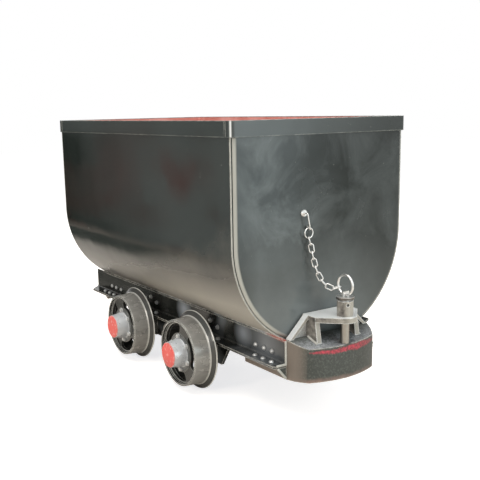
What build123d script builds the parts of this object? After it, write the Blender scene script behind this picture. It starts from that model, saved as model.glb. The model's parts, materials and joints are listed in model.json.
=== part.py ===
from build123d import *
import os
from math import acos, atan2, cos, cosh, degrees, pi, radians, sin, sqrt

# Ore cart of the fixed-body, round-bottomed kind for 600 mm track, in millimetres.
# The origin is on the floor under the cart's centre, +X runs towards one coupled end, +Z is up.
# The cart stands on its wheel flanges, so the rail's top would lie one flange depth above the floor.

# Running gear
wheel_base = 550.0
tread_radius = 150.0
flange_depth = 25.0
wheel_width = 99.0
wheel_back = 287.0          # from the cart's centre line to the wheel's inner face
axle_radius = 30.0
axle_clearance = 0.05       # running fit of the axle in its brackets, and of the wheels on the axle
flange_radius = tread_radius + flange_depth
axle_height = flange_radius

# Wheel section
flange_width = 21.0          # at the flange's root, where the tread begins
flange_crest = 11.0
flange_round = 5.0          # bevel on both sides of the crest
flange_root = 6.0           # bevel between flange and tread
tread_taper = 3.0           # fall of the tread from its root to its outer edge
tread_edge = 3.0
rim_wall = 12.0
rim_fillet = 5.0            # bevel where the disc meets the rim
disc_recess = 15.0
disc_thickness = 16.0
hub_root_radius = 63.0
hub_end_radius = 55.0
hub_flange_radius = 84.0
hub_flange_rise = 3.0
hub_fillet = 4.0            # bevel where the disc meets the hub, at the back
hub_reach = 430.0           # from the centre line to the hub's outer end
hub_back_radius = 41.0
hub_back_reach = 230.0      # from the centre line to the hub's inner end
window_count = 3
window_angle = 80.0
window_corner = 14.0
window_phase = 10.0
window_rim_gap = 8.0        # disc left between a window and the rim
window_hub_gap = 3.0        # disc left between a window and the hub's flange
cap_thickness = 4.0
cap_edge = 1.5
cap_gap = 1.0               # the cap is this much smaller in radius than the hub's end

# Tub
tub_length = 1580.0         # over the faces of the two end plates
tub_width = 868.0
tub_bottom = 280.0          # underside of the round bottom
tub_top = 1172.0
tub_plate = 5.0
shell_inset = 15.0          # the end plates stand this far out of the rolled shell
end_bend = 20.0
end_skirt = 48.0
seat_gap = 0.2              # between curved plates that lie on each other
tub_radius = tub_width / 2
tub_axis_height = tub_bottom + tub_radius
tub_face = tub_length / 2
shell_end = tub_face - shell_inset

# Rim band round the top
rim_height = 60.0
rim_thickness = 6.0
rim_corner = 20.0
rim_top = 1175.0
rim_end_stub = 38.0         # how far the end bars reach round on to the sides

# Frame rails
rail_front_overhang = 22.0  # from the tub's front face to the rails' front ends
rail_rear_overhang = 125.0
rail_web_outer = 210.0      # from the centre line to the web's outer face
rail_thickness = 8.0
rail_flange = 58.0
rail_flange_thickness = 10.0
rail_root = 7.0             # fillet between web and flange
rail_bottom = 224.0
rail_lip = 20.0
rail_front_cut = 12.0       # corner cut off the flange at the front end
rail_rear_cut = 56.0
rail_front_reach = tub_face + rail_front_overhang
rail_rear_reach = tub_face + rail_rear_overhang
rail_web_inner = rail_web_outer - rail_thickness
rail_flange_top = rail_bottom + rail_flange_thickness

# Axle brackets
bracket_thickness = 14.0
bracket_tub_gap = 3.0
bracket_width = 294.0       # behind the rail's web
bracket_corner = 45.0       # bevel of the two upper corners
bracket_foot_width = 136.0
bracket_foot_drop = 73.0    # from the axle down to the plate's foot
bracket_block_width = 76.0  # block on the outside, below the rail
bracket_block_thickness = 9.0
bracket_boss_radius = 50.0
bracket_boss_length = 12.0

# Buffers
buffer_root = rail_front_reach
buffer_depth = 123.0        # from the rail's front end to the buffer's face
buffer_bulge = 37.0         # rise of the arc of the face
buffer_face_width = 336.0
buffer_bottom = 172.0
buffer_front_height = 136.0
buffer_rear_height = 160.0
buffer_wall = 26.0
buffer_rib = 18.0
buffer_arm_length = 277.0   # from the rail's front end back to the arms' inner ends
buffer_arm_thickness = 30.0
buffer_cheek = 6.0          # bulge of the cheeks between the rail's end and the face
buffer_shelf = 14.0         # flat at the casting's rear top, which carries the lug
upright_thickness = 14.0
upright_length = 224.0
upright_height = 72.0       # above the rail's bottom
upright_corner = 20.0
ledge_width = 40.0
ledge_thickness = 10.0
gusset_thickness = 10.0
buffer_reach = buffer_root + buffer_depth
buffer_shoulder = buffer_reach - buffer_bulge
buffer_front_top = buffer_bottom + buffer_front_height
buffer_rear_top = buffer_bottom + buffer_rear_height

# Coupler lug
pin_setback = 20.0          # from the buffer's face back to the pin's axis
pin_radius = 17.0
pin_clearance = 1.0
lug_height = 86.0           # of the top plate's upper face above the casting's rear top
lug_plate_thickness = 21.0
lug_plate_width = 222.0
lug_shoulder_setback = 47.0 # from the pin's axis back to where the plate starts to narrow
lug_nose_radius = 46.0
lug_tub_gap = 3.0           # between the lug and the tub's end plate
lug_web_step = 6.0          # the upright web stands this far in from the plate's rear edge
lug_leg_thickness = 14.0
lug_post_thickness = 22.0
lug_post_setback = 33.0     # from the pin's axis back to the posts' front feet
lug_post_rake = 16.0        # how far a post leans back at its top
lug_post_lap = 8.0          # a post's top lies this far below the plate's upper face
lug_strap_width = 18.0
lug_rail_gap = 1.0          # between the lug's feet and the rails' webs
boss_radius = 32.0
boss_rise = 62.0            # above the top plate
pin_place = buffer_reach - pin_setback
lug_plate_top = buffer_rear_top + lug_height
lug_rear_place = tub_face + lug_tub_gap
lug_web_place = lug_rear_place + lug_web_step
lug_post_front = pin_place - lug_post_setback
boss_top = lug_plate_top + boss_rise

# Pin and its ring
pin_collar_radius = 22.0
pin_collar_height = 6.0
pin_head_radius = 35.0
pin_head_height = 10.0
pin_eye_radius = 15.0
pin_eye_height = 20.0
pin_eye_thickness = 10.0
pin_depth = 30.0            # how far the pin reaches into the buffer
ring_bar = 5.0
ring_radius = 39.0
ring_turn = 2.0             # of the ring's plane from the cart's long axis
ring_play = 0.3

# Chain that holds the pin
chain_wire = 2.6
chain_wire_sides = 6
chain_link_width = 24.0
chain_link_count = 9
chain_play = 0.3
chain_bend_steps = 4        # straight pieces in the half-round end of a link
chain_ring_radius = 20.0
chain_ring_steps = 8        # straight pieces in half of the small ring
chain_ring_side = -90.0     # from the centre line to the small ring's middle
chain_catch_angle = 20.0    # where the last link hangs on the pin's ring, below its middle
chain_lowest_share = 0.8    # share of its run at which the chain hangs lowest
chain_points = 6            # places worked out along the hanging chain
catenary_range = 50.0       # widest ratio tried between the chain's run and its catenary's size
catenary_halvings = 60
hook_side = -103.0          # from the centre line to the hook's foot
hook_height = 816.0
hook_drop = 77.0            # from the hook's foot to the small ring's middle
hook_stand_off = 15.0       # from the end plate to the small ring
hook_wire = 3.0
hook_bend = 5.0
hook_tip = 12.0             # how far the hook's end turns up behind the ring
hook_foot_radius = 13.0
hook_foot_thickness = 5.0


def along_x(sketch, start, end):
    return extrude(Plane.YZ.offset(start) * sketch, end - start, dir=(1, 0, 0))


def along_y(sketch, start, end):
    return extrude(Plane.XZ.offset(-start) * sketch, end - start, dir=(0, 1, 0))


def along_z(sketch, start, end):
    return extrude(Plane.XY.offset(start) * sketch, end - start, dir=(0, 0, 1))


def at_rear(shape):
    return shape.rotate(Axis.Z, 180)


def at_left(shape):
    return mirror(shape, about=Plane.XZ)


def save(shape, node):
    export_step(shape, f"parts/{node}.step")


def edges_at(edges, along, second, place):
    # the straight edges that run along one axis at a place on another
    return edges.filter_by(along).filter_by_position(second, place - seat_gap, place + seat_gap)


def tub_underside(offset):
    # height of the round bottom's outside at this distance from the centre line
    return tub_axis_height - sqrt(tub_radius * tub_radius - offset * offset)


def tub_section(radius, top):
    outline = Line((radius, top), (-radius, top))
    outline += Line((-radius, top), (-radius, tub_axis_height))
    outline += ThreePointArc(
        (-radius, tub_axis_height),
        (0, tub_axis_height - radius),
        (radius, tub_axis_height),
    )
    outline += Line((radius, tub_axis_height), (radius, top))
    return make_face(outline)


def make_tub_shell():
    wall = tub_section(tub_radius, tub_top) - tub_section(tub_radius - tub_plate, tub_top + rim_height)
    return along_x(wall, -shell_end, shell_end)


def make_tub_end():
    outer_radius = tub_radius - tub_plate - seat_gap
    inner_radius = outer_radius - tub_plate
    inner_face = tub_face - end_skirt - shell_inset
    outside = along_x(tub_section(outer_radius, tub_top), inner_face, tub_face)
    outside = fillet(outside.edges().group_by(Axis.X)[-1].sort_by(Axis.Z)[:-1], end_bend)
    inside = along_x(tub_section(inner_radius, tub_top + rim_height), inner_face, tub_face - tub_plate)
    inside = fillet(inside.edges().group_by(Axis.X)[-1].sort_by(Axis.Z)[:-1], end_bend - tub_plate)
    return outside - inside


def make_rim_bars():
    length = tub_length + 2 * rim_thickness
    width = tub_width + 2 * rim_thickness
    outline = RectangleRounded(length, width, rim_corner)
    opening = RectangleRounded(tub_length, tub_width, rim_corner - rim_thickness)
    band = along_z(outline - opening, rim_top - rim_height, rim_top)
    side_length = tub_length - 2 * rim_end_stub
    middle = Pos(0, 0, rim_top) * Box(side_length, 2 * width, 3 * rim_height)
    sides = (band & middle).solids().sort_by(Axis.Y)
    ends = (band - middle).solids().sort_by(Axis.X)
    return {"rim_right": sides[0], "rim_left": sides[1], "rim_rear": ends[0], "rim_front": ends[1]}


def make_rail():
    seat = Pos(0, tub_axis_height) * Circle(tub_radius + seat_gap)
    strip = Pos(0, tub_axis_height) * Circle(tub_radius + seat_gap + rail_thickness) - seat
    web_height = tub_axis_height - rail_bottom
    web_middle = rail_web_outer - rail_thickness / 2
    web = Pos(web_middle, rail_bottom + web_height / 2) * Rectangle(rail_thickness, web_height)
    flange_span = rail_flange + rail_thickness
    flange = Pos(rail_web_inner + flange_span / 2, rail_bottom + rail_flange_thickness / 2)
    flange = flange * Rectangle(flange_span, rail_flange_thickness)
    lip_span = rail_lip + rail_thickness
    lip = Pos(rail_web_inner + lip_span / 2, tub_axis_height / 2) * Rectangle(lip_span, tub_axis_height)
    rail = along_x(web + flange - seat, -rail_rear_reach, rail_front_reach)
    rail += along_x(strip & lip, -tub_face, rail_front_reach)
    tip = rail_web_outer + rail_flange
    root = edges_at(rail.edges(), Axis.X, Axis.Y, rail_web_outer)
    root = edges_at(root, Axis.X, Axis.Z, rail_flange_top)
    rail = fillet(root, rail_root)
    rail = chamfer(edges_at(rail.edges(), Axis.Z, Axis.Y, tip).sort_by(Axis.X)[-1], rail_front_cut)
    return chamfer(edges_at(rail.edges(), Axis.Z, Axis.Y, tip).sort_by(Axis.X)[0], rail_rear_cut)


def make_bracket():
    # a plate behind the rail's web that narrows to its foot below the axle
    inner = rail_web_inner - bracket_thickness
    top = tub_underside(inner) - bracket_tub_gap
    foot = axle_height - bracket_foot_drop
    half_top = bracket_width / 2
    half_foot = bracket_foot_width / 2
    outline = Polygon(
        (-half_foot, foot),
        (half_foot, foot),
        (half_top, rail_bottom),
        (half_top, top - bracket_corner),
        (half_top - bracket_corner, top),
        (bracket_corner - half_top, top),
        (-half_top, top - bracket_corner),
        (-half_top, rail_bottom),
        align=None,
    )
    plate = along_y(outline, inner, rail_web_inner)
    boss = along_y(Pos(0, axle_height) * Circle(bracket_boss_radius), inner - bracket_boss_length, rail_web_inner)
    block_height = rail_bottom - foot
    block = Pos(0, foot + block_height / 2) * Rectangle(bracket_block_width, block_height)
    block = along_y(block, inner, rail_web_inner + bracket_block_thickness)
    bore = along_y(Pos(0, axle_height) * Circle(axle_radius + axle_clearance), 0, rail_web_outer + rail_flange)
    return Pos(wheel_base / 2, 0, 0) * (plate + boss + block - bore)


def make_axle():
    length = 2 * (hub_reach - cap_thickness)
    return Pos(wheel_base / 2, length / 2, axle_height) * Rot(90, 0, 0) * extrude(Circle(axle_radius), length)


def make_wheel():
    # the wheel's section, as radius and distance outwards from its inner face
    bore = axle_radius + axle_clearance
    hub_end = hub_reach - wheel_back
    hub_back = hub_back_reach - wheel_back
    disc_front = wheel_width - disc_recess
    disc_back = disc_front - disc_thickness
    hub_face = disc_front + hub_flange_rise
    rim_inside = tread_radius - rim_wall
    tread_outer = tread_radius - tread_taper
    section = [
        (bore, hub_back),
        (hub_back_radius, hub_back),
        (hub_back_radius, 0),
        (hub_root_radius - hub_fillet, disc_back),
        (rim_inside - rim_fillet, disc_back),
        (rim_inside, disc_back - rim_fillet),
        (rim_inside, 0),
        (flange_radius - flange_round, 0),
        (flange_radius, flange_round),
        (flange_radius, flange_crest - flange_round),
        (flange_radius - flange_round, flange_crest),
        (tread_radius + flange_root, flange_width),
        (tread_radius, flange_width + flange_root),
        (tread_outer, wheel_width - tread_edge),
        (tread_outer - tread_edge, wheel_width),
        (rim_inside, wheel_width),
        (rim_inside, disc_front + rim_fillet),
        (rim_inside - rim_fillet, disc_front),
        (hub_flange_radius, disc_front),
        (hub_flange_radius, hub_face),
        (hub_root_radius, hub_face),
        (hub_end_radius, hub_end),
        (bore, hub_end),
    ]
    wheel = revolve(Plane.XZ * Polygon(*section, align=None), Axis.Z)
    window_outer = rim_inside - window_rim_gap
    window_inner = hub_flange_radius + window_hub_gap
    sector = [(0, 0)]
    for turn in (-window_angle / 2, 0, window_angle / 2):
        sector.append((2 * tread_radius * cos(radians(turn)), 2 * tread_radius * sin(radians(turn))))
    ring = Circle(window_outer) - Circle(window_inner)
    window = ring & Polygon(*sector, align=None)
    window = fillet(window.vertices(), window_corner)
    for number in range(window_count):
        turn = window_phase + 360 / window_count * number
        wheel -= along_z(Rot(0, 0, turn) * window, 0, hub_face)
    # the wheel's axis is turned to run outwards along -Y
    return Pos(wheel_base / 2, -wheel_back, axle_height) * Rot(90, 0, 0) * wheel


def make_hub_cap():
    cap = extrude(Circle(hub_end_radius - cap_gap), cap_thickness)
    cap = chamfer(cap.edges().group_by(Axis.Z)[-1], cap_edge)
    return Pos(wheel_base / 2, -hub_reach, axle_height) * Rot(90, 0, 0) * cap


def buffer_envelope(side):
    # the casting's outside: its plan, trimmed by its side view; side is its half-width at the root
    half_face = buffer_face_width / 2
    cheek_x = (buffer_root + buffer_shoulder) / 2 + buffer_cheek * (side - half_face) / buffer_depth
    cheek_y = (side + half_face) / 2 + buffer_cheek
    outline = Line((buffer_root, -side), (buffer_root, side))
    outline += ThreePointArc((buffer_root, side), (cheek_x, cheek_y), (buffer_shoulder, half_face))
    outline += ThreePointArc((buffer_shoulder, half_face), (buffer_reach, 0), (buffer_shoulder, -half_face))
    outline += ThreePointArc((buffer_shoulder, -half_face), (cheek_x, -cheek_y), (buffer_root, -side))
    block = along_z(make_face(outline), buffer_bottom, buffer_rear_top)
    side_view = Polygon(
        (buffer_root, buffer_bottom),
        (buffer_reach, buffer_bottom),
        (buffer_reach, buffer_front_top),
        (buffer_shoulder, buffer_front_top),
        (buffer_root + buffer_shelf, buffer_rear_top),
        (buffer_root, buffer_rear_top),
        align=None,
    )
    return block & along_y(side_view, -side - buffer_cheek, side + buffer_cheek)


def make_buffer(envelope, side, arm_depth, gusset_depth):
    pocket_front = buffer_shoulder - buffer_wall
    pocket_top = buffer_front_top - buffer_wall
    pocket_side = side - buffer_arm_thickness
    arm_end = buffer_root - buffer_arm_length
    upright_end = buffer_root - upright_length
    upright_top = rail_bottom + upright_height
    casting = envelope
    for hand in (-1, 1):
        pocket = Polygon(
            (buffer_root, hand * buffer_rib / 2),
            (pocket_front, hand * buffer_rib / 2),
            (pocket_front, hand * (pocket_side - buffer_wall)),
            (buffer_root, hand * pocket_side),
            align=None,
        )
        casting -= along_z(pocket, buffer_bottom, pocket_top)
        # the arm runs back beside or under the rail, with an upright inside the web
        arm_inner, arm_outer = sorted((hand * pocket_side, hand * side))
        arm = Polygon(
            (arm_end, rail_bottom - arm_depth),
            (buffer_root, rail_bottom - arm_depth),
            (buffer_root, rail_bottom),
            (arm_end, rail_bottom),
            align=None,
        )
        casting += along_y(arm, arm_inner, arm_outer)
        upright_inner, upright_outer = sorted((hand * (rail_web_inner - upright_thickness), hand * rail_web_inner))
        upright = Polygon(
            (upright_end, rail_bottom - ledge_thickness),
            (buffer_root, rail_bottom - ledge_thickness),
            (buffer_root, upright_top),
            (upright_end + upright_corner, upright_top),
            (upright_end, upright_top - upright_corner),
            align=None,
        )
        casting += along_y(upright, upright_inner, upright_outer)
        # a ledge under the rail's flange ends at a gusset that stiffens it
        ledge_outer = rail_web_outer + ledge_width
        ledge_front = buffer_root - gusset_thickness
        ledge = Polygon(
            (upright_end, hand * (side - ledge_thickness)),
            (ledge_front, hand * (side - ledge_thickness)),
            (ledge_front, hand * ledge_outer),
            (upright_end, hand * ledge_outer),
            align=None,
        )
        casting += along_z(ledge, rail_bottom - ledge_thickness, rail_bottom)
        gusset = Polygon(
            (hand * (side - ledge_thickness), rail_bottom),
            (hand * ledge_outer, rail_bottom),
            (hand * ledge_outer, rail_bottom - ledge_thickness),
            (hand * side, rail_bottom - gusset_depth),
            (hand * (side - ledge_thickness), rail_bottom - gusset_depth),
            align=None,
        )
        casting += along_x(gusset, ledge_front, buffer_root)
    pin_hole = Pos(pin_place, 0) * Circle(pin_radius + pin_clearance)
    return casting - along_z(pin_hole, buffer_front_top - pin_depth, buffer_rear_top)


def make_lug(buffer_shape):
    # the top plate is straight beside the posts and then narrows to a round nose about the pin
    half_plate = lug_plate_width / 2
    shoulder = pin_place - lug_shoulder_setback
    reach = sqrt(lug_shoulder_setback * lug_shoulder_setback + half_plate * half_plate)
    turn = 180 - degrees(atan2(half_plate, lug_shoulder_setback)) - degrees(acos(lug_nose_radius / reach))
    touch_x = pin_place + lug_nose_radius * cos(radians(turn))
    touch_y = lug_nose_radius * sin(radians(turn))
    plan = Polygon(
        (lug_rear_place, -half_plate),
        (shoulder, -half_plate),
        (touch_x, -touch_y),
        (touch_x, touch_y),
        (shoulder, half_plate),
        (lug_rear_place, half_plate),
        align=None,
    )
    plan += Pos(pin_place, 0) * Circle(lug_nose_radius)
    plate_bottom = lug_plate_top - lug_plate_thickness
    lug = along_z(plan, plate_bottom, lug_plate_top)
    lug += Pos(pin_place, 0, 0) * along_z(Circle(boss_radius), plate_bottom, boss_top)
    post_outer = half_plate
    post_inner = half_plate - lug_post_thickness
    post_top = lug_plate_top - lug_post_lap
    foot = rail_web_inner - lug_rail_gap
    for hand in (-1, 1):
        web = Polygon(
            (hand * post_inner, buffer_front_top),
            (hand * foot, buffer_rear_top),
            (hand * half_plate, lug_plate_top),
            (hand * post_inner, lug_plate_top),
            align=None,
        )
        lug += along_x(web, lug_web_place, lug_web_place + lug_leg_thickness)
        strap = Polygon(
            (hand * (foot - lug_strap_width), buffer_rear_top),
            (hand * foot, buffer_rear_top),
            (hand * half_plate, lug_plate_top),
            (hand * (half_plate - lug_strap_width), lug_plate_top),
            align=None,
        )
        lug += along_x(strap, lug_web_place, buffer_root + buffer_shelf)
        start, end = sorted((hand * post_inner, hand * post_outer))
        post = Polygon(
            (lug_web_place, buffer_front_top),
            (lug_post_front, buffer_front_top),
            (lug_post_front - lug_post_rake, post_top),
            (lug_web_place, post_top),
            align=None,
        )
        lug += along_y(post, start, end)
    bore = Pos(pin_place, 0) * Circle(pin_radius + pin_clearance)
    lug -= along_z(bore, plate_bottom, boss_top)
    return lug - buffer_shape


def make_pin():
    foot = buffer_front_top - pin_depth
    head = boss_top + pin_collar_height
    eye = head + pin_head_height
    pin = along_z(Circle(pin_radius), foot, boss_top)
    pin += along_z(Circle(pin_collar_radius), boss_top, head)
    pin += along_z(Circle(pin_head_radius), head, eye)
    eye_plate = Pos(0, 0, eye + pin_eye_height / 2) * Box(pin_eye_thickness, 2 * pin_eye_radius, pin_eye_height)
    pin += eye_plate
    hole_height = eye + ring_bar + ring_play
    hole = Cylinder(ring_bar + 2 * ring_play, 4 * pin_eye_radius)
    pin -= Pos(0, 0, hole_height) * Rot(0, 90, 0) * hole
    return Pos(pin_place, 0, 0) * Rot(0, 0, ring_turn) * pin


def ring_centre():
    return boss_top + pin_collar_height + pin_head_height + ring_bar + ring_play + ring_radius


def make_pin_ring():
    ring = Rot(0, 0, ring_turn) * Rot(90, 0, 0) * Torus(ring_radius, ring_bar)
    return Pos(pin_place, 0, ring_centre()) * ring


def make_wire_loop(straight, bend, steps):
    # a closed loop of wire with two straight sides and two half-round ends, each bent in straight steps
    corner = bend / cos(pi / (2 * steps))
    points = [(0, bend)]
    for number in range(steps):
        turn = pi / 2 - (number + 0.5) * pi / steps
        points.append((straight + corner * cos(turn), corner * sin(turn)))
    points.append((0, -bend))
    section = Plane((0, bend, 0), z_dir=(1, 0, 0)) * RegularPolygon(chain_wire, chain_wire_sides)
    half = sweep(section, path=Polyline(*points), transition=Transition.RIGHT)
    return half + mirror(half, about=Plane.YZ)


def catenary_size(run, lowest, drop):
    # the catenary that falls by this drop over the run and hangs lowest at that place, found by halving
    low = run / catenary_range
    high = run * catenary_range
    for _ in range(catenary_halvings):
        size = (low + high) / 2
        if size * (cosh(lowest / size) - cosh((run - lowest) / size)) > drop:
            low = size
        else:
            high = size
    return size


def make_chain():
    # the chain hangs from the small ring on the hook down to the pin's ring
    ring_x = tub_face + hook_stand_off
    ring_z = hook_height - hook_drop
    flat = ring_radius * cos(radians(chain_catch_angle))
    bar = Vector(
        pin_place - flat * cos(radians(ring_turn)),
        -flat * sin(radians(ring_turn)),
        ring_centre() - ring_radius * sin(radians(chain_catch_angle)),
    )
    upper = Vector(ring_x, chain_ring_side, ring_z - chain_ring_radius + chain_wire)
    heading = Vector(bar.X - upper.X, bar.Y - upper.Y, 0).normalized()
    lower = bar + heading * (ring_bar + 2 * ring_play)
    run = sqrt((lower.X - upper.X) ** 2 + (lower.Y - upper.Y) ** 2)
    lowest = run * chain_lowest_share
    size = catenary_size(run, lowest, upper.Z - lower.Z)
    places = []
    for number in range(chain_points):
        share = number / (chain_points - 1)
        height = size * (cosh((lowest - share * run) / size) - cosh((run - lowest) / size))
        place = upper + (lower - upper) * share
        places.append((place.X, place.Y, lower.Z + height))
    route = Spline(*places)
    side = Vector(-heading.Y, heading.X, 0)
    ring = make_wire_loop(0, chain_ring_radius, chain_ring_steps)
    pieces = [Pos(ring_x, chain_ring_side, ring_z) * Rot(0, 90, 0) * ring]
    for number in range(chain_link_count):
        start = route.position_at(number / chain_link_count)
        end = route.position_at((number + 1) / chain_link_count)
        along = (end - start).normalized()
        across = side - along * side.dot(along)
        normal = across if number % 2 else along.cross(across)
        bend = chain_link_width / 2 - chain_wire
        length = (end - start).length + 4 * chain_wire + chain_play
        link = make_wire_loop(length / 2 - chain_wire - bend, bend, chain_bend_steps)
        pieces.append(Plane((start + end) / 2, x_dir=along, z_dir=normal) * link)
    return Compound(children=pieces)


def make_hook():
    ring_x = tub_face + hook_stand_off
    ring_z = hook_height - hook_drop
    seat = ring_z + chain_ring_radius - chain_wire - hook_wire - ring_play
    reach = hook_wire + chain_wire + ring_play + hook_bend / 2
    path = FilletPolyline(
        (tub_face, hook_side, hook_height),
        (ring_x + reach, hook_side, hook_height),
        (ring_x + reach, chain_ring_side, seat),
        (ring_x - reach, chain_ring_side, seat),
        (ring_x - reach, chain_ring_side, seat + hook_tip),
        radius=hook_bend,
    )
    rod = sweep(Plane((tub_face, hook_side, hook_height), z_dir=(1, 0, 0)) * Circle(hook_wire), path=path)
    foot = along_x(Pos(hook_side, hook_height) * Circle(hook_foot_radius), tub_face, tub_face + hook_foot_thickness)
    return rod + foot


os.makedirs("parts", exist_ok=True)

save(make_tub_shell(), "tub_shell")
for node, bar in make_rim_bars().items():
    save(bar, node)

# end, the casting's half-width at its root, depth of its arms and of its gussets below the rail
castings = (
    ("front", rail_web_outer, rail_bottom - buffer_bottom, rail_bottom - buffer_bottom),
    ("rear", rail_web_inner, ledge_thickness, ledge_thickness),
)
end_plate = make_tub_end()
pin_pieces = {
    "coupling_pin": make_pin(),
    "pin_ring": make_pin_ring(),
    "pin_chain": make_chain(),
    "chain_hook": make_hook(),
}
for end, side, arm_depth, gusset_depth in castings:
    envelope = buffer_envelope(side)
    pieces = {
        "tub_end": end_plate,
        "buffer": make_buffer(envelope, side, arm_depth, gusset_depth),
        "coupler_lug": make_lug(envelope),
    }
    pieces.update(pin_pieces)
    for piece, shape in pieces.items():
        save(shape if end == "front" else at_rear(shape), f"{piece}_{end}")

rail = make_rail()
save(rail, "rail_left")
save(at_left(rail), "rail_right")

axle_pieces = {"wheel": make_wheel(), "hub_cap": make_hub_cap()}
bracket = make_bracket()
save(make_axle(), "axle_front")
save(at_rear(make_axle()), "axle_rear")
for piece, shape in axle_pieces.items():
    save(shape, f"{piece}_front_right")
    save(at_left(shape), f"{piece}_front_left")
    save(at_rear(shape), f"{piece}_rear_left")
    save(at_rear(at_left(shape)), f"{piece}_rear_right")
save(bracket, "axle_bracket_front_left")
save(at_left(bracket), "axle_bracket_front_right")
save(at_rear(bracket), "axle_bracket_rear_right")
save(at_rear(at_left(bracket)), "axle_bracket_rear_left")
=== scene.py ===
import json
import math
from functools import partial

import bpy
from mathutils import Matrix, Vector


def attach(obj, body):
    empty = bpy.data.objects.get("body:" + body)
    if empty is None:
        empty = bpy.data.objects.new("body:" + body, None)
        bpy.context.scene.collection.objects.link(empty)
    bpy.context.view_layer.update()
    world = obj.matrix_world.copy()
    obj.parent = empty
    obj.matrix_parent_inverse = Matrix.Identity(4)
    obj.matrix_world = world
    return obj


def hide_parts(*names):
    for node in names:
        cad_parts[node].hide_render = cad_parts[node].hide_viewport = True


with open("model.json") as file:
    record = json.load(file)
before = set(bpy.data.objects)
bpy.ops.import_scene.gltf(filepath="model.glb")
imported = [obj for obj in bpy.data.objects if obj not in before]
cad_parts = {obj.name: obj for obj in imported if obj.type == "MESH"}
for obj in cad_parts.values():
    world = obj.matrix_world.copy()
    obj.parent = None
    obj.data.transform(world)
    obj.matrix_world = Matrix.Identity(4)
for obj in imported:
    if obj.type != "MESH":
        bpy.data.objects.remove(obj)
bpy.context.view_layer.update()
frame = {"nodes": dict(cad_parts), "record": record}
cadNodes = frame["nodes"]
print("frame loaded:", len(cadNodes), "CAD nodes")

viewpoint = {
    "place": (3.020857, -1.967657, 1.213891),
    "azimuth": 56.469,
    "elevation": 10.663,
    "roll": -1.1824,
    "focalPixels": 757.026,
    "centrePixels": (220.864, 252.142),
    "framePixels": 480,
    "sensor": 36,
    "farthest": 60,
}


def placeCamera():
    azimuth = math.radians(viewpoint["azimuth"])
    elevation = math.radians(viewpoint["elevation"])
    level = math.cos(elevation)
    back = Vector((math.sin(azimuth) * level, -math.cos(azimuth) * level, math.sin(elevation)))
    right = Vector((math.cos(azimuth), math.sin(azimuth), 0))
    up = back.cross(right)
    turn = Matrix.Rotation(math.radians(viewpoint["roll"]), 3, back)
    axes = Matrix((turn @ right, turn @ up, back)).transposed()
    bpy.ops.object.camera_add(location=viewpoint["place"])
    camera = bpy.context.object
    camera.matrix_world = Matrix.Translation(viewpoint["place"]) @ axes.to_4x4()
    pixels = viewpoint["framePixels"]
    camera.data.sensor_width = viewpoint["sensor"]
    camera.data.lens = viewpoint["focalPixels"] / pixels * viewpoint["sensor"]
    camera.data.shift_x = (pixels / 2 - viewpoint["centrePixels"][0]) / pixels
    camera.data.shift_y = (viewpoint["centrePixels"][1] - pixels / 2) / pixels
    camera.data.clip_end = viewpoint["farthest"]
    bpy.context.scene.camera = camera


def linear(code):
    levels = [int(code[start:start + 2], 16) / 255 for start in (1, 3, 5)]
    return [level / 12.92 if level <= 0.04045 else ((level + 0.055) / 1.055) ** 2.4 for level in levels] + [1]


def addNode(tree, kind, settings=None, links=None):
    # a string names one of the node's properties or its first live socket, and a number counts its sockets
    node = tree.nodes.new("ShaderNode" + kind)

    def socket(name):
        if isinstance(name, int):
            return node.inputs[name]
        return next(entry for entry in node.inputs if entry.enabled and entry.name == name)

    for name, value in (settings or {}).items():
        if isinstance(name, str) and hasattr(node, name):
            setattr(node, name, value)
        else:
            socket(name).default_value = value
    for name, source in (links or {}).items():
        if isinstance(source, bpy.types.Node):
            source = next(entry for entry in source.outputs if entry.enabled)
        tree.links.new(source, socket(name))
    return node


def newMaterial(name):
    # an empty material, addNode for its tree, and the place on the piece in metres
    material = bpy.data.materials.new(name)
    material.use_nodes = True
    material.node_tree.nodes.clear()
    add = partial(addNode, material.node_tree)
    return material, add, add("TexCoord").outputs["Object"]


def scaleFor(millimetres):
    # the scale at which a pattern on Object coordinates has marks of this size
    return 1000 / millimetres


def cloudedMaterial(name, tones, size, detail=5.0, roughness=0.6):
    # a new material whose tone wanders between two colours, in clouds of a size in millimetres
    material, add, place = newMaterial(name)
    cloud = {"Scale": scaleFor(size), "Detail": detail, "Roughness": roughness}
    cloud = add("TexNoise", cloud, {"Vector": place})
    dark, light = tones
    tone = add("Mix", {"data_type": "RGBA", "A": linear(dark), "B": linear(light)}, {"Factor": cloud})
    return material, add, place, cloud, tone


def deselectAll():
    if bpy.context.object and bpy.context.object.mode != "OBJECT":
        bpy.ops.object.mode_set(mode="OBJECT")
    bpy.ops.object.select_all(action="DESELECT")


def selectOnly(piece):
    deselectAll()
    piece.select_set(True)
    bpy.context.view_layer.objects.active = piece


def remove(piece):
    selectOnly(piece)
    bpy.ops.object.delete()


placeCamera()
print("camera placed")

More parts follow.
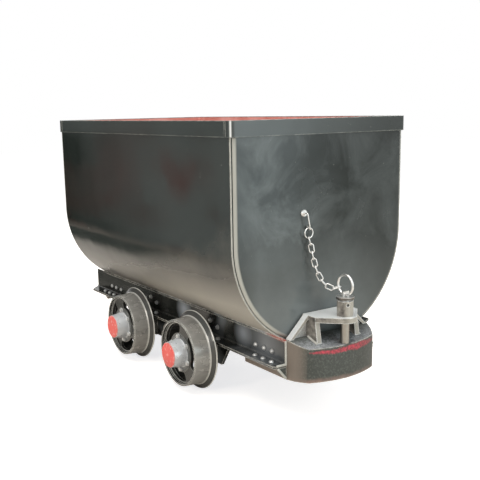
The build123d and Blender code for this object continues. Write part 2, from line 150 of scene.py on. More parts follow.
lamps = (  # name, place, aimed at, width, height, watts, colour
    ("overhead_lamp", (0.6, -0.8, 4.6), (0.0, 0.0, 0.6), 4.0, 4.0, 250, "#fffdf8"),
    ("end_panel_lamp", (3.6, 0.9, 1.25), (0.8, 0.0, 0.9), 2.0, 2.6, 36, "#e4f6fa"),
    ("side_lamp", (1.6, -5.4, 2.4), (0.0, 0.0, 0.4), 1.2, 1.6, 75, "#fffaf2"),
    ("far_lamp", (-3.5, 4.5, 3.5), (0.0, 0.0, 0.6), 3.0, 3.0, 110, "#ffffff"),
)
for name, place, target, width, height, watts, colour in lamps:
    bpy.ops.object.light_add(type="AREA", location=place)
    lamp = bpy.context.object
    lamp.name = name
    lamp.data.shape = "RECTANGLE"
    lamp.data.size = width
    lamp.data.size_y = height
    lamp.data.energy = watts
    lamp.data.color = linear(colour)[:3]
    lamp.visible_camera = False
    lamp.rotation_euler = (Vector(target) - Vector(place)).to_track_quat("-Z", "Y").to_euler()

studio = {
    "light": "#e6e9ec",
    "lightStrength": 0.55,
    "backdrop": "#ffffff",
    "floorSize": 40,
    "floorTones": ("#d9d1c7", "#e2dbd2"),
    "floorGrain": 16.667,  # millimetres
    "floorGlow": "#fbfcff",
    "glowStrength": 0.74,
}


def makeWorld():
    world = bpy.data.worlds.new("studio")
    world.use_nodes = True
    world.node_tree.nodes.clear()
    add = partial(addNode, world.node_tree)
    rays = add("LightPath")
    seen = rays.outputs["Is Camera Ray"]
    for kind in ("Is Transmission Ray", "Is Glossy Ray"):
        seen = add("Math", {"operation": "MAXIMUM"}, {0: seen, 1: rays.outputs[kind]})
    light = add("Background", {"Color": linear(studio["light"]), "Strength": studio["lightStrength"]})
    backdrop = add("Background", {"Color": linear(studio["backdrop"]), "Strength": 1.0})
    mixed = add("MixShader", {}, {0: seen, 1: light, 2: backdrop})
    add("OutputWorld", {}, {"Surface": mixed})
    bpy.context.scene.world = world
    bpy.context.scene.view_settings.view_transform = "Standard"


# pale and matte, and brighter to the camera, so that the floor keeps its soft shadow on near white
def matteFloor():
    grain = studio["floorGrain"]
    material, add, *_, tone = cloudedMaterial("pale_matte_floor", studio["floorTones"], grain, 3.0, 0.5)
    matte = add("BsdfDiffuse", {}, {"Color": tone})
    glow = add("Emission", {"Color": linear(studio["floorGlow"]), "Strength": studio["glowStrength"]})
    rays = add("LightPath")
    lit = add("AddShader", {}, {0: matte, 1: glow})
    mixed = add("MixShader", {}, {0: rays.outputs["Is Camera Ray"], 1: matte, 2: lit})
    add("OutputMaterial", {}, {"Surface": mixed})
    return material


makeWorld()
bpy.ops.mesh.primitive_plane_add(size=studio["floorSize"], location=(0, 0, 0))
floor = bpy.context.object
floor.name = "studio_floor"
floor.data.materials.append(matteFloor())


def showOnlyInGloss(sheet):
    for rays in ("camera", "diffuse", "shadow", "transmission"):
        setattr(sheet, "visible_" + rays, False)


# a glowing sheet hung beside the cart, lit by no lamp, which only the gloss on its long side mirrors: its colours
# paint the reflections there
flag = {
    "start": -9.0,
    "end": 0.6,
    "side": -1.15,
    "height": 1.6,
    "turn": -2.3,
    "tones": ("#252b27", "#e8eeea"),  # far end and near end
    "folds": 1111.1,                  # millimetres, as the ruddy reflections
    "ruddyReflections": 384.62,
    "ruddyReflection": "#8a4a42",
    "redMark": "#c0463c",
    "redMarks": (  # centre, reach and strength of the ruddy marks the side mirrors
        ((-0.84, -1.09, 0.91), 0.13, 1.2),
        ((-0.71, -1.10, 0.80), 0.15, 1.5),
        ((-0.58, -1.10, 0.90), 0.12, 1.2),
        ((-1.40, -1.07, 0.90), 0.38, 0.7),
    ),
    "hem": "#b9aea3",
    "brow": "#ccd5d2",
}


def paintedReflectionSheet():
    material, add, place = newMaterial("painted_reflection_sheet")
    where = add("SeparateXYZ", {}, {0: place})
    fold = add("TexNoise", {"Scale": scaleFor(flag["folds"]), "Detail": 3.0}, {"Vector": place})
    along = add("Math", {"operation": "MULTIPLY_ADD", 1: 1.6}, {0: fold, 2: where.outputs["X"]})
    along = add("MapRange", {"From Min": -1.4, "From Max": 1.1}, {"Value": along})
    dark, light = flag["tones"]
    tone = add("Mix", {"data_type": "RGBA", "A": linear(dark), "B": linear(light)}, {"Factor": along})
    ruddyReflection = add("TexNoise", {"Scale": scaleFor(flag["ruddyReflections"]), "Detail": 4.0}, {"Vector": place})
    ruddy = add("MapRange", {"From Min": 0.52, "From Max": 0.68, "To Max": 0.6}, {"Value": ruddyReflection})
    tone = add("Mix", {"data_type": "RGBA", "B": linear(flag["ruddyReflection"])}, {"Factor": ruddy, "A": tone})
    for centre, reach, strength in flag["redMarks"]:
        apart = add("VectorMath", {"operation": "DISTANCE", 1: centre}, {0: place})
        near = add("MapRange", {"From Min": reach, "From Max": 0.0, "To Max": strength}, {"Value": apart})
        near = add("Math", {"operation": "MULTIPLY"}, {0: near, 1: ruddyReflection})
        tone = add("Mix", {"data_type": "RGBA", "B": linear(flag["redMark"])}, {"Factor": near, "A": tone})
    hem = add("Math", {"operation": "MULTIPLY_ADD", 1: -0.35}, {0: fold, 2: where.outputs["Z"]})
    hem = add("MapRange", {"From Min": 0.08, "From Max": -0.15}, {"Value": hem})
    brow = add("MapRange", {"From Min": 1.05, "From Max": 1.10, "To Max": 0.36}, {"Value": where.outputs["Z"]})
    for colour, mask in (("hem", hem), ("brow", brow)):
        tone = add("Mix", {"data_type": "RGBA", "B": linear(flag[colour])}, {"Factor": mask, "A": tone})
    # painted reflection: the sheet glows with this tone
    matte = add("Emission", {"Strength": 1.0}, {"Color": tone})
    add("OutputMaterial", {}, {"Surface": matte})
    return material


flagLength = flag["end"] - flag["start"]
flagTurn = math.radians(flag["turn"])
flagMiddle = (
    flag["end"] - flagLength / 2,
    flag["side"] - math.sin(flagTurn) * flagLength / 2,
    flag["height"] / 2,
)
bpy.ops.mesh.primitive_plane_add(size=1, location=flagMiddle, rotation=(math.pi / 2, 0, flagTurn))
cloth = bpy.context.object
cloth.name = "dark_flag"
cloth.scale = (flagLength, flag["height"], 1)
bpy.ops.object.transform_apply(location=True, rotation=True, scale=True)
cloth.data.materials.append(paintedReflectionSheet())
showOnlyInGloss(cloth)

# a glowing dark card laid on the floor beside the cart's rear half, lit by no lamp, which only gloss mirrors: it
# paints darker reflections there
floorCard = {
    "start": -4.0,
    "end": -0.7,
    "outer": -1.15,
    "inner": -0.35,
    "height": 0.004,
    "tones": ("#4f5450", "#70756f"),
    "fibres": 200,  # millimetres
}


def paintedReflectionCard():
    # its front and inner edges fade out, so that no straight line shows in the paint
    look = floorCard
    material, add, place, fibre, tone = cloudedMaterial("painted_reflection_card", look["tones"], look["fibres"], 3.0, 0.5)
    where = add("SeparateXYZ", {}, {0: place})
    line = add("Math", {"operation": "MULTIPLY_ADD", 1: 0.10}, {0: fibre, 2: where.outputs["Y"]})
    outer = add("MapRange", {"From Min": -0.54, "From Max": -0.70}, {"Value": line})
    rearward = add("MapRange", {"From Min": -0.75, "From Max": -1.35}, {"Value": where.outputs["X"]})
    cover = add("Math", {"operation": "MULTIPLY"}, {0: outer, 1: rearward})
    paper = add("Emission", {"Strength": 1.0}, {"Color": tone})
    clear = add("BsdfTransparent")
    laid = add("MixShader", {}, {0: cover, 1: clear, 2: paper})
    add("OutputMaterial", {}, {"Surface": laid})
    return material


cardMiddle = (
    (floorCard["start"] + floorCard["end"]) / 2,
    (floorCard["outer"] + floorCard["inner"]) / 2,
    floorCard["height"],
)
bpy.ops.mesh.primitive_plane_add(size=1, location=cardMiddle)
card = bpy.context.object
card.name = "floor_card"
card.scale = (floorCard["end"] - floorCard["start"], floorCard["inner"] - floorCard["outer"], 1)
bpy.ops.object.transform_apply(location=True, rotation=True, scale=True)
card.data.materials.append(paintedReflectionCard())
showOnlyInGloss(card)
print("world, lamps and floor done")

# places that both the pieces and their paint go by
tub = {
    "radius": 0.434,
    "axisHeight": 0.714,
    "top": 1.172,
    "plate": 0.005,
    "shellEnd": 0.775,
    "endFace": 0.790,
    "endRadius": 0.4288,
    "endBend": 0.020,
    "endSkirt": 0.048,
    "rimFoot": 1.113,
    "turns": 160,
}
axle = {"place": 0.275, "height": 0.175}
pin = {"place": 0.915, "headMiddle": 0.488, "headHalf": 0.0065}


def edgeWear(add, place, radius, size, least):
    # 0 on the flats, up to 1 on edges within the radius, broken up by rubbed spots of a size in millimetres
    rounded = add("Bevel", {"samples": 6, "Radius": radius})
    flat = add("NewGeometry")
    bend = add("VectorMath", {"operation": "DOT_PRODUCT"}, {0: rounded, 1: flat.outputs["Normal"]})
    edge = add("MapRange", {"From Min": 0.995, "From Max": 0.955}, {"Value": bend})
    rub = add("TexNoise", {"Scale": scaleFor(size), "Detail": 3.0}, {"Vector": place})
    kept = add("MapRange", {"From Min": 0.4, "From Max": 0.6, "To Min": least}, {"Value": rub})
    return add("Math", {"operation": "MULTIPLY"}, {0: edge, 1: kept})


plateLook = {
    "tones": ("#181d1b", "#2b302e"),
    "clouds": 333.33,  # millimetres, as the next four
    "wiping": 222.22,
    "waves": 285.71,   # the sheet's own waviness
    "flecks": 10.526,  # real chips are 2 to 3, and would not show
    "rubbing": 33.333,
    "wipedDust": "#858b8b",
    "lowDustAndReflection": "#5f5b54",
    "underDustAndReflection": "#b9b4aa",
    "bendHighlight": "#b7b6ae",
    "cornerHighlight": "#fafbf9",
    "bareEdge": "#8f918a",
}


# enamel over rolled steel plate: dark, smooth and glossy, so it mostly mirrors what stands round it
def glossEnamel():
    look = plateLook
    material, add, place, cloud, tone = cloudedMaterial("gloss_black_enamel", look["tones"], look["clouds"])
    where = add("SeparateXYZ", {}, {0: place})
    x, y, z = (where.outputs[axis] for axis in "XYZ")
    outward = add("Math", {"operation": "ABSOLUTE"}, {0: x})
    atEnd = add("MapRange", {"From Min": 0.774, "From Max": 0.787}, {"Value": outward})
    notEnd = add("Math", {"operation": "SUBTRACT", 0: 1.0}, {1: atEnd})
    farHand = add("MapRange", {"From Min": 0.10, "From Max": 0.34, "To Min": 1.0, "To Max": 0.35}, {"Value": y})

    # dust on the end plates, thick low down and wiped about higher up
    splash = add("Math", {"operation": "MULTIPLY_ADD", 1: 0.5}, {0: cloud, 2: z})
    low = add("MapRange", {"From Min": 1.05, "From Max": 0.60, "To Max": 0.6}, {"Value": splash})
    low = add("Math", {"operation": "MULTIPLY"}, {0: low, 1: farHand})
    wiped = {"Scale": scaleFor(look["wiping"]), "Detail": 6.0, "Roughness": 0.6, "Distortion": 0.7}
    wiped = add("TexNoise", wiped, {"Vector": place})
    swirl = add("MapRange", {"From Min": 0.42, "From Max": 0.72, "To Max": 0.45}, {"Value": wiped})
    swirlward = add("MapRange", {"From Min": 0.15, "From Max": -0.10, "To Min": 0.5}, {"Value": y})
    swirl = add("Math", {"operation": "MULTIPLY"}, {0: swirl, 1: swirlward})
    film = add("Math", {"operation": "MAXIMUM"}, {0: low, 1: swirl})
    nearHand = add("MapRange", {"From Min": -0.40, "From Max": -0.32, "To Min": 0.45}, {"Value": y})
    for mask in (nearHand, atEnd):
        film = add("Math", {"operation": "MULTIPLY"}, {0: film, 1: mask})
    onRim = add("Math", {"operation": "GREATER_THAN", 1: tub["rimFoot"]}, {0: z})
    rimFilm = add("Math", {"operation": "MULTIPLY", 1: 0.2}, {0: atEnd})
    rimFilm = add("Math", {"operation": "MULTIPLY"}, {0: rimFilm, 1: farHand})
    film = add("Mix", {}, {"Factor": onRim, "A": film, "B": rimFilm})

    # dust and a painted warm floor reflection low on the long sides, and under the round, just above the rails, a
    # paler film of dust and painted reflection
    forward = add("Math", {"operation": "MULTIPLY_ADD", 1: -0.16}, {0: x, 2: splash})
    belly = add("MapRange", {"From Min": 0.88, "From Max": 0.66, "To Max": 0.75}, {"Value": forward})
    belly = add("Math", {"operation": "MULTIPLY"}, {0: belly, 1: notEnd})
    tipped = add("Math", {"operation": "MULTIPLY_ADD", 1: -0.05}, {0: x, 2: z})
    under = add("MapRange", {"From Min": 0.545, "From Max": 0.43, "To Max": 0.62}, {"Value": tipped})
    toFront = add("MapRange", {"From Min": -0.65, "From Max": 0.40}, {"Value": x})
    for mask in (toFront, notEnd):
        under = add("Math", {"operation": "MULTIPLY"}, {0: under, 1: mask})

    # a painted highlight round the bend of the end plates, most on the right hand
    below = add("Math", {"operation": "SUBTRACT", 1: tub["axisHeight"]}, {0: z})
    below = add("Math", {"operation": "MINIMUM", 1: 0.0}, {0: below})
    offAxis = add("CombineXYZ", {}, {"Y": y, "Z": below})
    span = add("VectorMath", {"operation": "LENGTH"}, {0: offAxis})
    bent = add("MapRange", {"From Min": 0.412, "From Max": 0.418}, {"Value": span})
    bendEnd = add("MapRange", {"From Min": 0.7795, "From Max": 0.7810, "To Max": 0.85}, {"Value": outward})
    underRim = add("Math", {"operation": "LESS_THAN", 1: tub["rimFoot"] - 0.0005}, {0: z})
    rightHand = add("MapRange", {"From Min": 0.15, "From Max": -0.15, "To Min": 0.25}, {"Value": y})
    for mask in (bendEnd, underRim, rightHand):
        bent = add("Math", {"operation": "MULTIPLY"}, {0: bent, 1: mask})

    # a painted highlight down the rim's corners
    sideways = add("Math", {"operation": "ABSOLUTE"}, {0: y})
    cornerEnd = add("MapRange", {"From Min": 0.781, "From Max": 0.788}, {"Value": outward})
    cornerSide = add("MapRange", {"From Min": 0.433, "From Max": 0.437}, {"Value": sideways})
    corner = add("Math", {"operation": "MULTIPLY"}, {0: cornerEnd, 1: cornerSide})

    worn = edgeWear(add, place, 0.005, look["rubbing"], 0.3)
    fleck = add("TexNoise", {"Scale": scaleFor(look["flecks"]), "Detail": 2.0}, {"Vector": place})
    chip = add("MapRange", {"From Min": 0.755, "From Max": 0.775, "To Max": 0.7}, {"Value": fleck})
    worn = add("Math", {"operation": "MAXIMUM"}, {0: worn, 1: chip})
    dustsAndReflections = (("wipedDust", film), ("lowDustAndReflection", belly), ("underDustAndReflection", under))
    for coat, mask in dustsAndReflections + (("bendHighlight", bent), ("cornerHighlight", corner), ("bareEdge", worn)):
        tone = add("Mix", {"data_type": "RGBA", "B": linear(look[coat])}, {"Factor": mask, "A": tone})
    haze = {"From Min": 0.3, "From Max": 0.75, "To Min": 0.05, "To Max": 0.2}
    haze = add("MapRange", haze, {"Value": cloud})
    for dulling, mask in ((0.3, belly), (0.45, under), (0.12, atEnd)):
        haze = add("Math", {"operation": "MULTIPLY_ADD", 1: dulling}, {0: mask, 2: haze})
    wave = add("TexNoise", {"Scale": scaleFor(look["waves"]), "Detail": 2.0}, {"Vector": place})
    bump = add("Bump", {"Strength": 0.35, "Distance": 0.012}, {"Height": wave})
    paint = add("BsdfPrincipled", {"IOR": 1.5}, {"Base Color": tone, "Roughness": haze, "Normal": bump})
    add("OutputMaterial", {}, {"Surface": paint})
    return material


railLook = {
    "tones": ("#1a1c1a", "#31322f"),
    "clouds": 111.11,       # millimetres, as the next four
    "sheens": 200,
    "brushAlong": 62.5,
    "brushAcross": 4.1667,  # a brush's real marks are 1 apart, and would not show
    "rubbing": 22.222,
    "sheen": "#8e9497",
    "reflectionSpot": "#a7adb4",
    "reflectionSpots": (  # centre, reach and strength of painted reflections on the web
        ((0.045, 0.0, 0.292), 0.075, 0.75),
        ((0.523, 0.0, 0.291), 0.070, 0.6),
        ((0.68, 0.0, 0.28), 0.15, 0.4),
    ),
    "spray": "#9c544c",
    "bareEdge": "#c8c5bc",
}


# the same enamel on the rolled rails: dustier, with the brush marks left in it, a painted sheen in patches and
# painted reflections on the web
def railEnamel():
    look = railLook
    material, add, place, cloud, tone = cloudedMaterial("brushed_black_enamel", look["tones"], look["clouds"])
    where = add("SeparateXYZ", {}, {0: place})
    x, y, z = (where.outputs[axis] for axis in "XYZ")
    sheen = add("TexNoise", {"Scale": scaleFor(look["sheens"]), "Detail": 1.0}, {"Vector": place})
    sheen = add("MapRange", {"From Min": 0.56, "From Max": 0.72, "To Max": 0.75}, {"Value": sheen})
    tone = add("Mix", {"data_type": "RGBA", "B": linear(look["sheen"])}, {"Factor": sheen, "A": tone})
    onWeb = add("CombineXYZ", {"Y": 0.0}, {"X": x, "Z": z})
    for centre, reach, most in look["reflectionSpots"]:
        apart = add("VectorMath", {"operation": "DISTANCE", 1: centre}, {0: onWeb})
        near = add("MapRange", {"From Min": reach, "From Max": 0.01, "To Max": most}, {"Value": apart})
        tone = add("Mix", {"data_type": "RGBA", "B": linear(look["reflectionSpot"])}, {"Factor": near, "A": tone})

    # red overspray on the right rail's front end, above its web
    spray = add("MapRange", {"From Min": 0.70, "From Max": 0.75}, {"Value": x})
    above = add("MapRange", {"From Min": 0.318, "From Max": 0.326}, {"Value": z})
    rightHand = add("Math", {"operation": "LESS_THAN", 1: 0.0}, {0: y})
    for mask in (above, rightHand):
        spray = add("Math", {"operation": "MULTIPLY"}, {0: spray, 1: mask})
    # bare edges, pale enough to stand also for painted highlights along them
    worn = edgeWear(add, place, 0.005, look["rubbing"], 0.35)
    for coat, mask in (("spray", spray), ("bareEdge", worn)):
        tone = add("Mix", {"data_type": "RGBA", "B": linear(look[coat])}, {"Factor": mask, "A": tone})
    across = scaleFor(look["brushAcross"])
    brushed = add("Mapping", {"Scale": (scaleFor(look["brushAlong"]), across, across)}, {"Vector": place})
    streak = add("TexNoise", {"Scale": 1.0, "Detail": 3.0}, {"Vector": brushed})
    bump = add("Bump", {"Strength": 0.25, "Distance": 0.0015}, {"Height": streak})
    haze = add("MapRange", {"To Min": 0.06, "To Max": 0.26}, {"Value": cloud})
    paint = add("BsdfPrincipled", {"IOR": 1.5}, {"Base Color": tone, "Roughness": haze, "Normal": bump})
    add("OutputMaterial", {}, {"Surface": paint})
    return material


redLook = {"clouds": 33.333, "rubbing": 11.111, "bareEdge": "#c9b3ab", "chalk": "#f6cfc9"}  # sizes in millimetres


# sprayed red enamel, even and a little dull, with its dust in chalky patches of a size in millimetres
def redEnamel(name, tones, chalkSize, chalkMost):
    look = redLook
    material, add, place, _, tone = cloudedMaterial(name, tones, look["clouds"])
    worn = edgeWear(add, place, 0.003, look["rubbing"], 0.0)
    chalk = add("TexNoise", {"Scale": scaleFor(chalkSize), "Detail": 3.0}, {"Vector": place})
    chalk = add("MapRange", {"From Min": 0.55, "From Max": 0.70, "To Max": chalkMost}, {"Value": chalk})
    for coat, mask in (("bareEdge", worn), ("chalk", chalk)):
        tone = add("Mix", {"data_type": "RGBA", "B": linear(look[coat])}, {"Factor": mask, "A": tone})
    paint = add("BsdfPrincipled", {"IOR": 1.5, "Roughness": 0.35}, {"Base Color": tone})
    add("OutputMaterial", {}, {"Surface": paint})
    return material


castLook = {
    "tones": ("#2d312c", "#454844"),
    "grain": 4.1667,  # millimetres, as the next four: moulding sand is 0.5, and would not show
    "specks": 9.0909,
    "clouds": 62.5,
    "blots": 111.11,
    "rubbing": 16.667,
    "speck": "#83877f",
    "sprays": ("#6a2c31", "#d63c52"),
    "sprayHeight": 0.291,
    "faceStart": 0.8985,
    "rust": "#8f7468",
    "cheekReflection": "#776c62",
    "scuffAndTopLight": "#adaeb2",
    "shade": "#1f231f",
    "bareEdge": "#c3c0b7",
}


# enamel over a sand casting: grainy, rubbed to grey steel on its edges, red overspray under the front edge
def castEnamel():
    look = castLook
    material, add, place, cloud, tone = cloudedMaterial("painted_cast_steel", look["tones"], look["clouds"])
    where = add("SeparateXYZ", {}, {0: place})
    x, y, z = (where.outputs[axis] for axis in "XYZ")
    fine = {"Scale": scaleFor(look["specks"]), "Detail": 4.0, "Roughness": 0.7}
    fine = add("TexNoise", fine, {"Vector": place})
    speck = add("MapRange", {"From Min": 0.48, "From Max": 0.72, "To Max": 0.36}, {"Value": fine})
    tone = add("Mix", {"data_type": "RGBA", "B": linear(look["speck"])}, {"Factor": speck, "A": tone})
    outward = add("Math", {"operation": "ABSOLUTE"}, {0: x})

    # a ragged stripe of overspray across the buffer's face, thinning out from the middle
    ragged = add("Math", {"operation": "MULTIPLY_ADD", 1: 0.030, 2: -0.015}, {0: cloud})
    height = add("Math", {"operation": "ADD"}, {0: z, 1: ragged})
    offStripe = add("Math", {"operation": "SUBTRACT", 1: look["sprayHeight"]}, {0: height})
    offStripe = add("Math", {"operation": "ABSOLUTE"}, {0: offStripe})
    blot = add("TexNoise", {"Scale": scaleFor(look["blots"]), "Detail": 4.0}, {"Vector": place})
    offStripe = add("Math", {"operation": "MULTIPLY_ADD", 1: -0.030}, {0: blot, 2: offStripe})
    offMiddle = add("Math", {"operation": "SUBTRACT", 1: 0.03}, {0: y})
    offMiddle = add("Math", {"operation": "ABSOLUTE"}, {0: offMiddle})
    offStripe = add("Math", {"operation": "MULTIPLY_ADD", 1: 0.045}, {0: offMiddle, 2: offStripe})
    stripe = add("MapRange", {"From Min": 0.0005, "From Max": -0.0065, "To Max": 0.9}, {"Value": offStripe})
    onFace = add("Math", {"operation": "GREATER_THAN", 1: look["faceStart"]}, {0: outward})
    stripe = add("Math", {"operation": "MULTIPLY"}, {0: stripe, 1: onFace})
    mist = add("MapRange", {"From Min": 0.36, "From Max": 0.62}, {"Value": fine})
    dark, light = look["sprays"]
    spray = add("Mix", {"data_type": "RGBA", "A": linear(dark), "B": linear(light)}, {"Factor": mist})
    tone = add("Mix", {"data_type": "RGBA"}, {"Factor": stripe, "A": tone, "B": spray})

    # rust at the foot, a painted brown reflection on the faces turned sideways, scuffs and painted top light on the
    # upward faces near the front, painted shade on the far hand, and bare edges clear of the pin
    foot = add("MapRange", {"From Min": 0.190, "From Max": 0.173, "To Max": 0.8}, {"Value": height})
    facing = add("NewGeometry")
    facing = add("SeparateXYZ", {}, {0: facing.outputs["Normal"]})
    sideways = add("Math", {"operation": "ABSOLUTE"}, {0: facing.outputs["Y"]})
    cheekReflection = add("MapRange", {"From Min": 0.75, "From Max": 0.9, "To Max": 0.85}, {"Value": sideways})
    upward = add("MapRange", {"From Min": 0.8, "From Max": 0.93}, {"Value": facing.outputs["Z"]})
    nearEdge = add("MapRange", {"From Min": 0.82, "From Max": 0.89, "To Max": 0.85}, {"Value": outward})
    scuffAndTopLight = add("MapRange", {"From Min": 0.40, "From Max": 0.60, "To Min": 0.3}, {"Value": fine})
    for mask in (nearEdge, upward):
        scuffAndTopLight = add("Math", {"operation": "MULTIPLY"}, {0: scuffAndTopLight, 1: mask})
    shade = add("MapRange", {"From Min": 0.02, "From Max": 0.16, "To Max": 0.5}, {"Value": y})
    worn = edgeWear(add, place, 0.006, look["rubbing"], 0.45)
    inPlan = add("CombineXYZ", {}, {"X": outward, "Y": y})
    offPin = add("VectorMath", {"operation": "DISTANCE", 1: (pin["place"], 0, 0)}, {0: inPlan})
    offPin = add("MapRange", {"From Min": 0.024, "From Max": 0.030}, {"Value": offPin})
    worn = add("Math", {"operation": "MULTIPLY"}, {0: worn, 1: offPin})
    coats = (("rust", foot), ("cheekReflection", cheekReflection), ("scuffAndTopLight", scuffAndTopLight), ("shade", shade), ("bareEdge", worn))
    for coat, mask in coats:
        tone = add("Mix", {"data_type": "RGBA", "B": linear(look[coat])}, {"Factor": mask, "A": tone})
    grain = {"Scale": scaleFor(look["grain"]), "Detail": 4.0, "Roughness": 0.65}
    grain = add("TexNoise", grain, {"Vector": place})
    bump = add("Bump", {"Strength": 0.5, "Distance": 0.001}, {"Height": grain})
    paint = add("BsdfPrincipled", {"IOR": 1.5, "Roughness": 0.38}, {"Base Color": tone, "Normal": bump})
    add("OutputMaterial", {}, {"Surface": paint})
    return material


thinLook = {
    "tones": ("#47433f", "#9a958d"),
    "grain": 5.8824,  # millimetres, as the next two: mill scale is finer, and would not show
    "clouds": 35.714,
    "rubbing": 20,
    "top": "#d6d8d8",
    "face": "#b3aca0",
    "web": "#efeeec",
    "bareEdge": "#e9e8e4",
    "webLine": (0.818, 0.815),
}


# thin grey paint over flame-cut steel, rubbed nearly bare on the edges, with painted light on the upward faces, the
# faces turned along the cart and the plate behind the posts
def thinPaint():
    look = thinLook
    material, add, place = newMaterial("thin_grey_paint_on_steel")
    grain = {"Scale": scaleFor(look["grain"]), "Detail": 5.0, "Roughness": 0.7}
    grain = add("TexNoise", grain, {"Vector": place})
    cloud = {"Scale": scaleFor(look["clouds"]), "Detail": 5.0, "Roughness": 0.65}
    cloud = add("TexNoise", cloud, {"Vector": place})
    blotch = add("MapRange", {"From Min": 0.36, "From Max": 0.64}, {"Value": cloud})
    dark, light = look["tones"]
    tone = add("Mix", {"data_type": "RGBA", "A": linear(dark), "B": linear(light)}, {"Factor": blotch})
    facing = add("NewGeometry")
    facing = add("SeparateXYZ", {}, {0: facing.outputs["Normal"]})
    # painted top light on the upward faces, and painted light on the faces turned along the cart
    upward = add("MapRange", {"From Min": 0.25, "From Max": 0.6, "To Max": 0.9}, {"Value": facing.outputs["Z"]})
    forward = add("Math", {"operation": "ABSOLUTE"}, {0: facing.outputs["X"]})
    forward = add("MapRange", {"From Min": 0.6, "From Max": 0.95, "To Max": 0.7}, {"Value": forward})

    # painted light on the plate behind the posts, mottled pale
    where = add("SeparateXYZ", {}, {0: place})
    outward = add("Math", {"operation": "ABSOLUTE"}, {0: where.outputs["X"]})
    start, end = look["webLine"]
    behind = add("MapRange", {"From Min": start, "From Max": end}, {"Value": outward})
    mottle = add("MapRange", {"From Min": 0.4, "From Max": 0.6, "To Min": 0.45}, {"Value": grain})
    web = add("Math", {"operation": "MULTIPLY"}, {0: behind, 1: forward})
    web = add("Math", {"operation": "MULTIPLY"}, {0: web, 1: mottle})
    worn = edgeWear(add, place, 0.005, look["rubbing"], 0.45)
    for coat, mask in (("top", upward), ("face", forward), ("web", web), ("bareEdge", worn)):
        tone = add("Mix", {"data_type": "RGBA", "B": linear(look[coat])}, {"Factor": mask, "A": tone})
    bump = add("Bump", {"Strength": 0.6, "Distance": 0.0012}, {"Height": grain})
    paint = add("BsdfPrincipled", {"IOR": 1.5, "Roughness": 0.33}, {"Base Color": tone, "Normal": bump})
    add("OutputMaterial", {}, {"Surface": paint})
    return material


wheelLook = {
    "tones": ("#222322", "#3d3d3a"),
    "clouds": 71.429,      # millimetres, as the next four
    "grain": 5,            # a casting's real 0.5 would not show
    "streakRound": 55.556,
    "streakAcross": 185.19,
    "rubbing": 28.571,
    "tread": "#b9b7b2",
    "barrel": "#e4e7ea",
    "plate": "#9a9d9e",
    "bareEdge": "#d9d8d1",
    "treadStart": (0.1445, 0.1465),  # radii from the axle, in metres, as the rest
    "flangeStart": (0.1515, 0.154),
    "root": 0.1532,
    "crest": (0.1718, 0.1728),
    "barrelEnd": (0.067, 0.064),
    "plateEnd": (0.086, 0.066),
    "rimStart": (0.125, 0.135),
    "outerFace": (0.366, 0.374),     # from the middle of the cart
}


